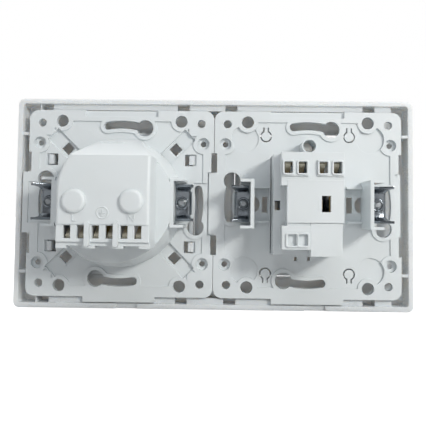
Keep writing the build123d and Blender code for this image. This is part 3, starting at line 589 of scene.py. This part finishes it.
def settle(piece: bpy.types.Object, name: str, body: str, finish: Finish) -> bpy.types.Object:
    """Names a finished piece, dresses it and lets it ride.

    Args:
        piece: The modelled object.
        name: Its name in the scene.
        body: CAD body that carries it.
        finish: Finish of its whole surface.

    Returns:
        The same object.
    """
    place_in_mesh(piece)
    bpy.ops.object.shade_smooth_by_angle(angle=SMOOTH_ANGLE)
    piece.name = name
    piece.data.name = name
    shade(piece, finish)
    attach(piece, body)
    LOG.info("piece %s: %s, rides on %s", name, finish.name, body)
    return piece


@dataclass
class Keyholes:
    """The slots and channels of a mounting plate, cut through a copy of its CAD node.

    Attributes:
        node: CAD node of the plate.
        middle: Middle of the module along X.
        channelled: Whether the plate has the diagonal channels.
        radius: Radius of the circle on which the fixing slots lie.
        head: Angle of a slot's head, in degrees from X towards Z.
        sweep: Angle that a slot covers from there.
        width: Width of a slot.
        through: Depths between which a slot is cut.
        channel: Inner and outer radius of a channel's outer part, and its width.
        channel_floor: Depth of its floor.
    """

    node: str
    middle: float
    channelled: bool
    radius: float = 30.0
    head: float = 17.3
    sweep: float = 27.5
    width: float = 3.1
    through: tuple[float, float] = (-2.8, 0.5)
    channel: tuple[float, float, float] = (30.0, 37.2, 5.8)
    channel_floor: float = -1.4

    def turned(self, tool: bpy.types.Object, angle: float) -> bpy.types.Object:
        """Turns a tool round the middle of the plate.

        Args:
            tool: Tool with its place in its mesh.
            angle: Degrees from X towards Z.

        Returns:
            The same tool.
        """
        activate(tool)
        bpy.ops.transform.rotate(
            value=math.radians(angle), orient_axis="Y", center_override=(self.middle * MM, 0, 0)
        )
        return place_in_mesh(tool)

    def four(self, first: bpy.types.Object) -> bpy.types.Object:
        """Repeats a tool in the other three quarters of the plate, as one piece with it."""
        copies = [self.turned(copy_of(first, Vector()), 90 * quarter) for quarter in range(1, 4)]
        return join([first, *copies])

    def arcs(self) -> bpy.types.Object:
        """Models the tool of the slots, a rectangle spun round the middle of the plate.

        Returns:
            The tool of all four slots.
        """
        low, high = self.through
        bpy.ops.mesh.primitive_plane_add(
            size=MM, location=((self.middle + self.radius) * MM, (low + high) / 2 * MM, 0)
        )
        tool = bpy.context.object
        tool.scale = (self.width, high - low, 1)
        place_in_mesh(tool)
        open_mesh(tool)
        select_everything()
        bpy.ops.mesh.spin(
            steps=14, angle=math.radians(self.sweep), center=(self.middle * MM, 0, 0), axis=(0, -1, 0)
        )
        close_mesh()
        return self.four(self.turned(tool, self.head))

    def ends(self) -> bpy.types.Object:
        """Models the tool of the slots' round ends.

        Returns:
            The tool of all four ends.
        """
        low, high = self.through
        bpy.ops.mesh.primitive_cylinder_add(
            vertices=24, radius=self.width / 2 * MM, depth=(high - low) * MM,
            location=((self.middle + self.radius) * MM, (low + high) / 2 * MM, 0), rotation=ALONG_DEPTH,
        )
        tool = place_in_mesh(bpy.context.object)
        return self.four(self.turned(tool, self.head - self.sweep))

    def channels(self) -> bpy.types.Object:
        """Models the tool of the channels' outer parts, which lie on the diagonals.

        Returns:
            The tool of all four channels.
        """
        inner, outer, width = self.channel
        low, high = self.channel_floor, self.through[1]
        bpy.ops.mesh.primitive_cube_add(
            size=MM, location=((self.middle + (inner + outer) / 2) * MM, (low + high) / 2 * MM, 0)
        )
        tool = bpy.context.object
        tool.scale = (outer - inner, high - low, width)
        return self.four(self.turned(place_in_mesh(tool), 45))

    def cut(self) -> None:
        """Cuts a copy of the plate, which then stands for the node."""
        dress_node(self.node, WHITE_PA)
        plate = bpy.data.objects.new(self.node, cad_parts[self.node].data.copy())
        bpy.context.scene.collection.objects.link(plate)
        open_mesh(plate)
        weld(within=0.0005)
        close_mesh(turn_out=False)
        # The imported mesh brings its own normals, which would leave blotches round the cuts.
        bpy.ops.mesh.customdata_custom_splitnormals_clear()
        tools = [self.arcs(), self.ends()]
        if self.channelled:
            tools.append(self.channels())
        for tool in tools:
            cut_with(plate, tool)
        open_mesh(plate)
        weld(within=0.002)
        cap_holes()
        close_mesh(turn_out=False)
        plate = settle(plate, f"{self.node}_slotted", "wall_unit", WHITE_PA)
        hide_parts(self.node)


@dataclass
class CompressionSpring:
    """A coil spring of round wire, wound at one length, which stays the same as its joint moves.

    Attributes:
        node: CAD node that it stands for.
        body: CAD body on which its fixed end sits.
        joint: Joint that presses it. Not used.
        start: Middle of its first end.
        tilt: Angle of its axis in degrees from Y towards Z.
        length: Length between the middles of its end wires.
        radius: Radius of the wire's middle line.
        turns: Number of turns.
        travel: How far the joint presses it. Not used.
        fixed_start: Whether its first end is the one that stays. Not used.
        wire: Radius of the wire.
    """

    node: str
    body: str
    joint: str
    start: Vector
    tilt: float
    length: float
    radius: float
    turns: int
    travel: float
    fixed_start: bool
    wire: float = 0.15

    def build(self) -> None:
        """Winds the spring along Y, turns it to its axis and puts it in its place."""
        dress_node(self.node, SPRING_WIRE)
        deselect()
        bpy.ops.mesh.primitive_circle_add(
            vertices=10, radius=self.wire * MM, location=(self.radius * MM, 0, 0)
        )
        spring = place_in_mesh(bpy.context.object)
        modify(
            spring, "SCREW", axis="Y", angle=math.tau, screw_offset=self.length / self.turns * MM,
            iterations=self.turns, steps=24, render_steps=24,
        )
        open_mesh(spring)
        cap_holes(sides=12)
        close_mesh()
        bpy.ops.transform.rotate(
            value=math.radians(-self.tilt), orient_axis="X", center_override=(0, 0, 0)
        )
        shift(self.start)
        settle(spring, f"{self.node}_wound", self.body, SPRING_WIRE)
        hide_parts(self.node)
        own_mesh(spring)


@dataclass
class CoverFrame:
    """The double frame, an open tray seen from behind."""

    def build(self) -> None:
        """Dresses the frame."""
        dress_node("cover_frame", WHITE_PC)


@dataclass
class SocketModule:
    """The earthed socket outlet with its contacts, shutter and clamps.

    Attributes:
        middle: Middle of the module along X, in millimetres.
        sign_depth: Depth of the block's rear face, on which the signs stand.
        sign_level: Height of the letters' middle.
        sign_size: Height of a letter.
        sign_rise: How far the signs stand out.
        capital: Share of the font's size that a capital letter fills.
        pole: Distance of the live and the neutral pole from the middle.
        earth_rise: How far the earth sign's middle lies over the letters'.
        earth_bars: Width, height and level from there of the earth sign's stem and bars.
        earth_edge: Radius of their edges.
        ring: Radius of the ring round them.
    """

    middle: float = Gang.SOCKET.value
    sign_depth: float = 27.0
    sign_level: float = -5.6
    sign_size: float = 2.6
    sign_rise: float = 0.22
    capital: float = 0.7
    pole: float = 9.5
    earth_rise: float = 1.8
    earth_bars: tuple[tuple[float, float, float], ...] = (
        (0.3, 1.1, 0.55), (2.2, 0.3, -0.1), (1.55, 0.3, -0.6), (0.9, 0.3, -1.1),
    )
    earth_edge: float = 0.08
    ring: float = 1.9

    def letter(self, sign: str, across: float) -> bpy.types.Object:
        """Models one moulded letter of the block.

        Args:
            sign: The letter.
            across: Its place along X from the middle of the module.

        Returns:
            The letter as a mesh.
        """
        deselect()
        place = Vector((self.middle + across, self.sign_depth, self.sign_level)) * MM
        bpy.ops.object.text_add(location=place, rotation=(math.radians(90), 0, math.radians(180)))
        text = bpy.context.object
        text.data.body = sign
        text.data.align_x, text.data.align_y = "CENTER", "CENTER"
        text.data.size = self.sign_size / self.capital * MM
        text.data.extrude = self.sign_rise * MM
        text.data.resolution_u = 4
        bpy.ops.object.convert(target="MESH")
        letter = place_in_mesh(bpy.context.object)
        open_mesh(letter)
        weld(within=0.001)
        close_mesh()
        return letter

    def earth_sign(self) -> bpy.types.Object:
        """Models the earth sign: a stem, three bars that get shorter, and the ring round them.

        Returns:
            The sign as one piece.
        """
        deselect()
        middle = Vector((self.middle, self.sign_depth, self.sign_level + self.earth_rise))
        bpy.ops.mesh.primitive_torus_add(
            major_radius=self.ring * MM, minor_radius=self.sign_rise * MM, major_segments=48,
            minor_segments=10, location=middle * MM, rotation=ALONG_DEPTH,
        )
        pieces = [place_in_mesh(bpy.context.object)]
        for width, height, level in self.earth_bars:
            deselect()
            bpy.ops.mesh.primitive_cube_add(size=MM, location=(middle + Vector((0, 0, level))) * MM)
            bar = bpy.context.object
            bar.scale = (width, 2 * self.sign_rise, height)
            place_in_mesh(bar)
            modify(bar, "BEVEL", width=self.earth_edge * MM, segments=2)
            pieces.append(bar)
        return join(pieces)

    def build(self) -> None:
        """Dresses the CAD nodes of the socket and adds the moulded signs of its poles."""
        Keyholes("socket_base", self.middle, channelled=True).cut()
        dress_node("socket_insert", WHITE_PC)
        dress_node("insert_screw", ZINC_SCREW)
        dress_node("shutter", GREY_PA)
        CompressionSpring(
            "shutter_spring", "wall_unit", "shutter_slide", start=Vector((self.middle, 9.9, 6.104)), tilt=90,
            length=9.292, radius=1.2, turns=5, travel=6.2, fixed_start=False,
        ).build()
        for name in ("line_contact", "neutral_contact", "earth_strap"):
            dress_node(name, BRASS)
        for name in ("line_clamp", "neutral_clamp", "earth_clamp"):
            dress_node(name, CLAMP_METAL)
        signs = {
            "socket_sign_line": self.letter("L", self.pole),
            "socket_sign_neutral": self.letter("N", -self.pole),
            "socket_sign_earth": self.earth_sign(),
        }
        for name, sign in signs.items():
            settle(sign, name, "wall_unit", WHITE_PA)


@dataclass(frozen=True)
class EntryPair:
    """Two wire entries side by side.

    Attributes:
        name: Name of the piece that frames them.
        middle: Middle of the pair along X, from the middle of the module.
        level: Height of its middle.
        depth: Depth of the face in which they lie.
        pitch: Distance of the two entries.
        size: Width and height of one entry.
    """

    name: str
    middle: float
    level: float
    depth: float
    pitch: float
    size: tuple[float, float]


@dataclass
class SwitchModule:
    """The one-way rocker switch.

    Attributes:
        middle: Middle of the module along X, in millimetres.
        entries: The pairs of entries, of which the last is closed.
        wall: Width of the rim round an entry.
        rise: Its height.
        corner: Its outer corner radius.
        softness: Share of the height that the edges of the rim are rounded.
    """

    middle: float = Gang.SWITCH.value
    entries: tuple[EntryPair, ...] = (
        EntryPair("entry_rims_common", 6.6, 12.5, 19.5, 4.87, (2.85, 4.0)),
        EntryPair("entry_rims_switched", -5.4, 12.5, 19.5, 4.87, (2.85, 4.0)),
        EntryPair("entry_rims_blank", 5.775, -12.4, 19.0, 3.85, (3.1, 3.9)),
    )
    wall: float = 0.62
    rise: float = 0.5
    corner: float = 1.0
    softness: float = 0.25

    def rim(self, entry: EntryPair) -> bpy.types.Object:
        """Models the rounded rim of the first entry of a pair, which stands up from its face.

        Args:
            entry: The pair of entries.

        Returns:
            The rim, closed on all sides.
        """
        middle = Vector((self.middle + entry.middle - entry.pitch / 2, entry.depth, entry.level))
        deselect()
        bpy.ops.mesh.primitive_plane_add(size=MM, location=middle * MM, rotation=ALONG_DEPTH)
        rim = bpy.context.object
        rim.scale = (entry.size[0] + 2 * self.wall, entry.size[1] + 2 * self.wall, 1)
        place_in_mesh(rim)
        open_mesh(rim)
        select_everything()
        bpy.ops.mesh.bevel(offset=self.corner * MM, segments=5, affect="VERTICES")
        select_everything()
        bpy.ops.mesh.inset(thickness=self.wall * MM)
        bpy.ops.mesh.delete(type="FACE")
        select_everything()
        draw_out(Vector((0, self.rise, 0)))
        close_mesh()
        modify(rim, "BEVEL", width=self.softness * self.rise * MM, segments=2, limit_method="ANGLE")
        return rim

    def build(self) -> None:
        """Dresses the CAD nodes of the switch and adds the rims of its entries."""
        Keyholes("switch_yoke", self.middle, channelled=False).cut()
        dress_node("switch_housing", WHITE_PA)
        dress_node("rocker", WHITE_PC)
        dress_node("rocker_cradle", GREY_PA)
        dress_node("plunger", GREY_PA)
        CompressionSpring(
            "plunger_spring", "rocker_body", "plunger_slide", start=Vector((-35.9, -7.988, -0.314)), tilt=4.5,
            length=7.2, radius=1.15, turns=6, travel=1.0, fixed_start=True,
        ).build()
        for name in ("common_contact", "switched_contact", "seesaw"):
            dress_node(name, BRASS)
        for name in ("moving_rivet", "fixed_rivet"):
            dress_node(name, SILVER)
        for name in ("common_clamp", "switched_clamp"):
            dress_node(name, CLAMP_METAL)
        for entry in self.entries:
            first = self.rim(entry)
            rims = join([first, copy_of(first, Vector((entry.pitch, 0, 0)))])
            settle(rims, entry.name, "wall_unit", WHITE_PA)


@dataclass
class SpreaderClaws:
    """The four claws that grip the wall box, and their screws. They are modelled round the screw's axis.

    Attributes:
        axis: Distance of a screw from the middle of its module.
        sheet: Thickness of the claw's sheet.
        web: The web's reach along X, from the screw's axis outwards.
        web_depth: Depth of the web's middle plane.
        half_height: Half the height of the web between its two folds.
        flange: Depth, half height, inner and outer end of a flange at each of its steps, up to the tooth.
        lip: Half the height of the lip, and how far it is bent towards the room.
        fold: Radius of the folds of the flanges and of the lip.
        bore: Radius of the threaded hole.
        collar: How far the middle of the burr round the hole lies from its edge, and the burr's radius.
        edge: Radius of the sheet's edges.
        thread: Outer radius of the thread.
        core: Radius of the screw's core.
        root: How far the ridge of the thread goes into the core.
        pitch: Pitch of the thread.
        plain: Length of the end that has no thread.
        head_radius: Radius of the head.
        head: Depth of the head's two faces.
        head_round: Radius of the head's edge.
        slot: Width and depth of the slot.
        tip: Depth of the screw's end.
        point: Length of the tapered end, and what is left of its radius there.
    """

    axis: float = 24.27
    sheet: float = 0.9
    web: tuple[float, float] = (-2.17, 2.93)
    web_depth: float = 7.55
    half_height: float = 4.7
    flange: tuple[tuple[float, float, float, float], ...] = (
        (9.2, 5.7, -2.17, 3.6), (10.6, 6.1, -2.0, 4.4), (11.8, 6.1, -0.1, 3.63), (14.3, 6.1, 3.9, 4.4),
    )
    lip: tuple[float, float] = (4.2, 3.7)
    fold: tuple[float, float] = (1.0, 0.8)
    bore: float = 1.55
    collar: tuple[float, float] = (0.42, 0.38)
    edge: float = 0.14
    thread: float = 1.5
    core: float = 1.2
    root: float = 0.06
    pitch: float = 0.5
    plain: float = 0.6
    head_radius: float = 2.7
    head: tuple[float, float] = (-4.05, -2.25)
    head_round: float = 0.45
    slot: tuple[float, float] = (0.8, 0.9)
    tip: float = 9.3
    point: tuple[float, float] = (0.5, 0.7)

    def folded_sheet(self) -> bpy.types.Object:
        """Models the middle surface of a claw: a web with a lip and two stepped flanges, all folded.

        Returns:
            The open surface, without its thickness.
        """
        inner, outer = self.web
        lip_half, lip_reach = self.lip
        deselect()
        bpy.ops.mesh.primitive_plane_add(
            size=MM, location=((inner + outer) / 2 * MM, self.web_depth * MM, 0), rotation=ALONG_DEPTH
        )
        claw = bpy.context.object
        claw.scale = (outer - inner, 2 * self.half_height, 1)
        place_in_mesh(claw)
        open_mesh(claw)
        for level in (-lip_half, lip_half):
            select_everything()
            bpy.ops.mesh.bisect(plane_co=(0, 0, level * MM), plane_no=(0, 0, 1))
        pick(claw, Element.EDGE, lambda at: at.x > outer - NEAR and abs(at.z) < lip_half + NEAR)
        draw_out(Vector((0, -lip_reach, 0)))
        for side in (-1, 1):
            depth, level, ends = self.web_depth, side * self.half_height, self.web
            for next_depth, half, *next_ends in self.flange:
                pick(claw, Element.EDGE, lambda at: near(at.z, level) and near(at.y, depth))
                draw_out(Vector((0, next_depth - depth, side * half - level)))
                depth, level = next_depth, side * half
                for end, next_end in zip(ends, next_ends):
                    pick(
                        claw, Element.CORNER,
                        lambda at: near(at.z, level) and near(at.y, depth) and near(at.x, end),
                    )
                    shift(Vector((next_end - end, 0, 0)))
                ends = next_ends
        pick(
            claw, Element.EDGE,
            lambda at: near(at.y, self.web_depth) and abs(at.z) > self.half_height - NEAR,
        )
        bpy.ops.mesh.bevel(offset=self.fold[0] * MM, segments=6, affect="EDGES")
        pick(
            claw, Element.EDGE,
            lambda at: near(at.y, self.web_depth) and at.x > outer - NEAR and abs(at.z) < lip_half + NEAR,
        )
        bpy.ops.mesh.bevel(offset=self.fold[1] * MM, segments=5, affect="EDGES")
        close_mesh()
        return claw

    def claw(self) -> bpy.types.Object:
        """Models one claw: the folded sheet with its thickness, threaded hole and broken edges.

        Returns:
            The claw of a right side.
        """
        claw = self.folded_sheet()
        modify(claw, "SOLIDIFY", thickness=self.sheet * MM, offset=0.0)
        bpy.ops.mesh.primitive_cylinder_add(
            vertices=40, radius=self.bore * MM, depth=4 * self.sheet * MM,
            location=(0, self.web_depth * MM, 0), rotation=ALONG_DEPTH,
        )
        cut_with(claw, bpy.context.object)
        bpy.ops.mesh.primitive_torus_add(
            major_radius=(self.bore + self.collar[0]) * MM, minor_radius=self.collar[1] * MM,
            major_segments=40, minor_segments=12,
            location=(0, (self.web_depth + self.sheet / 2) * MM, 0), rotation=ALONG_DEPTH,
        )
        collar = place_in_mesh(bpy.context.object)
        activate(claw)
        modify(
            claw, "BEVEL", width=self.edge * MM, segments=2, limit_method="ANGLE",
            angle_limit=math.radians(40),
        )
        return join([claw, collar])

    def shank(self) -> bpy.types.Object:
        """Models the screw without its thread: the slotted head, the core and the tapered end.

        Returns:
            The shank, closed on all sides.
        """
        front, seat = self.head
        half_slot, slot_depth = self.slot[0] / 2, self.slot[1]
        length, share = self.point
        deselect()
        bpy.ops.mesh.primitive_cylinder_add(
            vertices=40, radius=self.head_radius * MM, depth=(seat - front) * MM,
            location=(0, (front + seat) / 2 * MM, 0), rotation=ALONG_DEPTH,
        )
        screw = place_in_mesh(bpy.context.object)
        open_mesh(screw)
        pick(screw, Element.FACE, lambda at: at.y < front + NEAR)
        bpy.ops.mesh.bevel(offset=self.head_round * MM, segments=4, affect="EDGES")
        for across in (-half_slot, half_slot):
            pick(screw, Element.FACE, lambda at: at.y < front + NEAR)
            bpy.ops.mesh.bisect(plane_co=(across * MM, 0, 0), plane_no=(1, 0, 0))
        pick(screw, Element.FACE, lambda at: at.y < front + NEAR and abs(at.x) < half_slot + NEAR)
        draw_out(Vector((0, slot_depth, 0)))
        pick(screw, Element.FACE, lambda at: at.y > seat - NEAR)
        bpy.ops.mesh.inset(thickness=(self.head_radius - self.core) * MM)
        draw_out(Vector((0, self.tip - length - seat, 0)))
        draw_out(Vector((0, length, 0)))
        bpy.ops.transform.resize(value=(share, 1, share), center_override=(0, self.tip * MM, 0))
        close_mesh()
        return screw

    def ridge(self) -> bpy.types.Object:
        """Models the ridge of the thread, a triangle wound up from the wall's face to the plain end.

        Returns:
            The ridge, closed at both ends.
        """
        # The height of an even triangle is 1.5 times the radius round it.
        radius = (self.thread - self.core + self.root) / 1.5
        bpy.ops.mesh.primitive_circle_add(
            vertices=3, radius=radius * MM, location=((self.thread - radius) * MM, 0, 0),
            rotation=(0, 0, math.radians(-90)),
        )
        ridge = place_in_mesh(bpy.context.object)
        modify(
            ridge, "SCREW", axis="Y", angle=math.tau, screw_offset=self.pitch * MM,
            iterations=int((self.tip - self.plain) / self.pitch), steps=20, render_steps=20,
            use_merge_vertices=False,
        )
        open_mesh(ridge)
        cap_holes(sides=3)
        close_mesh()
        return ridge

    def build(self) -> None:
        """Models one claw and one screw, and sets a copy of each at the four places."""
        claw, screw = self.claw(), join([self.shank(), self.ridge()])
        for gang in Gang:
            for side in Side:
                module, hand = gang.name.lower(), side.name.lower()
                way = Vector((gang.value + side.value * self.axis, 0, 0))
                for model, kind, finish, slot in (
                    (claw, "claw", ZINC_SHEET_DARKENED, "zinc_claw"), (screw, "claw_screw", ZINC_SCREW, "steel_screw"),
                ):
                    node = f"{module}_{kind}_{hand}"
                    body = f"{module}_{kind.replace('claw_', '')}_{hand}_body"
                    dress_node(node, finish)
                    piece = copy_of(model, way, mirrored=side is Side.LEFT and kind == "claw")
                    settle(piece, f"{node}_formed", body, finish)
                    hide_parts(node)
        remove(claw)
        remove(screw)


@dataclass(frozen=True)
class Lamp:
    """A square soft light that looks at the unit.

    Attributes:
        name: Name of the light.
        place: Its middle, in metres.
        size: Its side, in metres.
        power: Its power in watts.
        colour: Its colour as sRGB hex.
    """

    name: str
    place: tuple[float, float, float]
    size: float
    power: float
    colour: str

    def build(self) -> None:
        """Adds the light."""
        data = bpy.data.lights.new(self.name, "AREA")
        data.size = self.size
        data.energy = self.power
        data.color = linear(self.colour)[:3]
        light = bpy.data.objects.new(self.name, data)
        light.location = self.place
        light.rotation_mode = "QUATERNION"
        light.rotation_quaternion = (-Vector(self.place)).to_track_quat("-Z", "Y")
        bpy.context.scene.collection.objects.link(light)


@dataclass
class Studio:
    """Floor, soft light and the camera at the photograph's place.

    Attributes:
        camera_mm: Place of the lens.
        turn: Rotation of the camera as an axis times an angle in radians.
        focal_px: Focal length in pixels of the frame.
        centre_px: Where the lens axis meets the frame.
        frame_px: Side of the square frame.
        sensor_mm: Side of the sensor.
        clip_m: Nearest and farthest distance that the camera sees.
        floor_mm: Level of the floor.
        floor_m: Side of the floor.
        backdrop: Brightness of the white backdrop on the room side.
        room: Brightness of the room behind the camera.
        fade: Between which directions along Y the one passes into the other.
        lamps: The lights.
    """

    camera_mm: tuple[float, float, float] = (-9.065, 202.943, -3.996)
    turn: tuple[float, float, float] = (0.049, 0.013, -0.011)
    focal_px: float = 535.2
    centre_px: tuple[float, float] = (230.6, 188.46)
    frame_px: float = 426.0
    sensor_mm: float = 36.0
    clip_m: tuple[float, float] = (0.01, 20.0)
    floor_mm: float = -39.9
    floor_m: float = 8.0
    backdrop: float = 1.0
    room: float = 0.22
    fade: tuple[float, float] = (-0.05, 0.35)
    lamps: tuple[Lamp, ...] = (
        Lamp("key", (-0.5, 0.57, 0.3), 0.16, 3.9, "#FFFDF8"),
        Lamp("top", (0.0, 0.5, 0.6), 0.7, 1.8, "#F8FBFF"),
        Lamp("front", (0.3, -0.7, 0.45), 0.6, 2.0, "#FFFFFF"),
    )

    def camera(self) -> None:
        """Sets up the camera."""
        data = bpy.data.cameras.new("camera")
        data.sensor_width = self.sensor_mm
        data.lens = self.focal_px / self.frame_px * data.sensor_width
        data.shift_x = 0.5 - self.centre_px[0] / self.frame_px
        data.shift_y = self.centre_px[1] / self.frame_px - 0.5
        data.clip_start, data.clip_end = self.clip_m
        turn = Vector(self.turn)
        # Right, up and ahead of a level camera that looks along -Y at the back of the unit.
        level = Matrix(((-1, 0, 0), (0, 0, 1), (0, -1, 0)))
        right, up, ahead = Quaternion(turn.normalized(), turn.length).to_matrix() @ level
        axes = Matrix((right, up, -ahead)).transposed().to_4x4()
        camera = bpy.data.objects.new("camera", data)
        camera.matrix_world = Matrix.Translation(Vector(self.camera_mm) * MM) @ axes
        bpy.context.scene.collection.objects.link(camera)
        bpy.context.scene.camera = camera

    def floor(self) -> None:
        """Adds the pale floor under the unit."""
        deselect()
        bpy.ops.mesh.primitive_plane_add(size=self.floor_m, location=(0, 0, self.floor_mm * MM))
        floor = bpy.context.object
        floor.name = "floor"
        shade(floor, PALE_PAPER)

    def sky(self) -> None:
        """Surrounds the unit with white light, a bright backdrop and a dimmer room."""
        world = bpy.data.worlds.new("studio")
        bpy.context.scene.world = world
        world.use_nodes = True
        tree = world.node_tree
        tree.nodes.clear()
        place = add_node(tree, "ShaderNodeTexCoord").outputs["Generated"]
        way = add_node(tree, "ShaderNodeSeparateXYZ", links={"Vector": place})
        room = add_node(
            tree, "ShaderNodeMapRange",
            {"From Min": self.fade[0], "From Max": self.fade[1], "To Min": self.backdrop, "To Max": self.room},
            {"Value": way.outputs["Y"]},
        )
        # The camera sees plain white everywhere. The light on the unit has the darker room.
        seen = add_node(tree, "ShaderNodeLightPath").outputs["Is Camera Ray"]
        strength = add_node(
            tree, "ShaderNodeMath", links={0: room.outputs["Result"], 1: seen}, operation="MAXIMUM"
        )
        light = add_node(
            tree, "ShaderNodeBackground", {"Color": (1, 1, 1, 1)}, {"Strength": strength.outputs[0]}
        )
        add_node(tree, "ShaderNodeOutputWorld", links={"Surface": light.outputs["Background"]})

    def build(self) -> None:
        """Builds the studio."""
        self.camera()
        self.floor()
        self.sky()
        for lamp in self.lamps:
            lamp.build()
        bpy.context.scene.view_settings.view_transform = "Standard"


def main() -> None:
    """Builds every sub-assembly in order and reports each piece."""
    logging.basicConfig(level=logging.INFO, format="%(message)s")
    for assembly in (CoverFrame(), SocketModule(), SwitchModule(), SpreaderClaws(), Studio()):
        assembly.build()
        LOG.info("%s done", type(assembly).__name__)


if __name__ == "__main__":
    main()
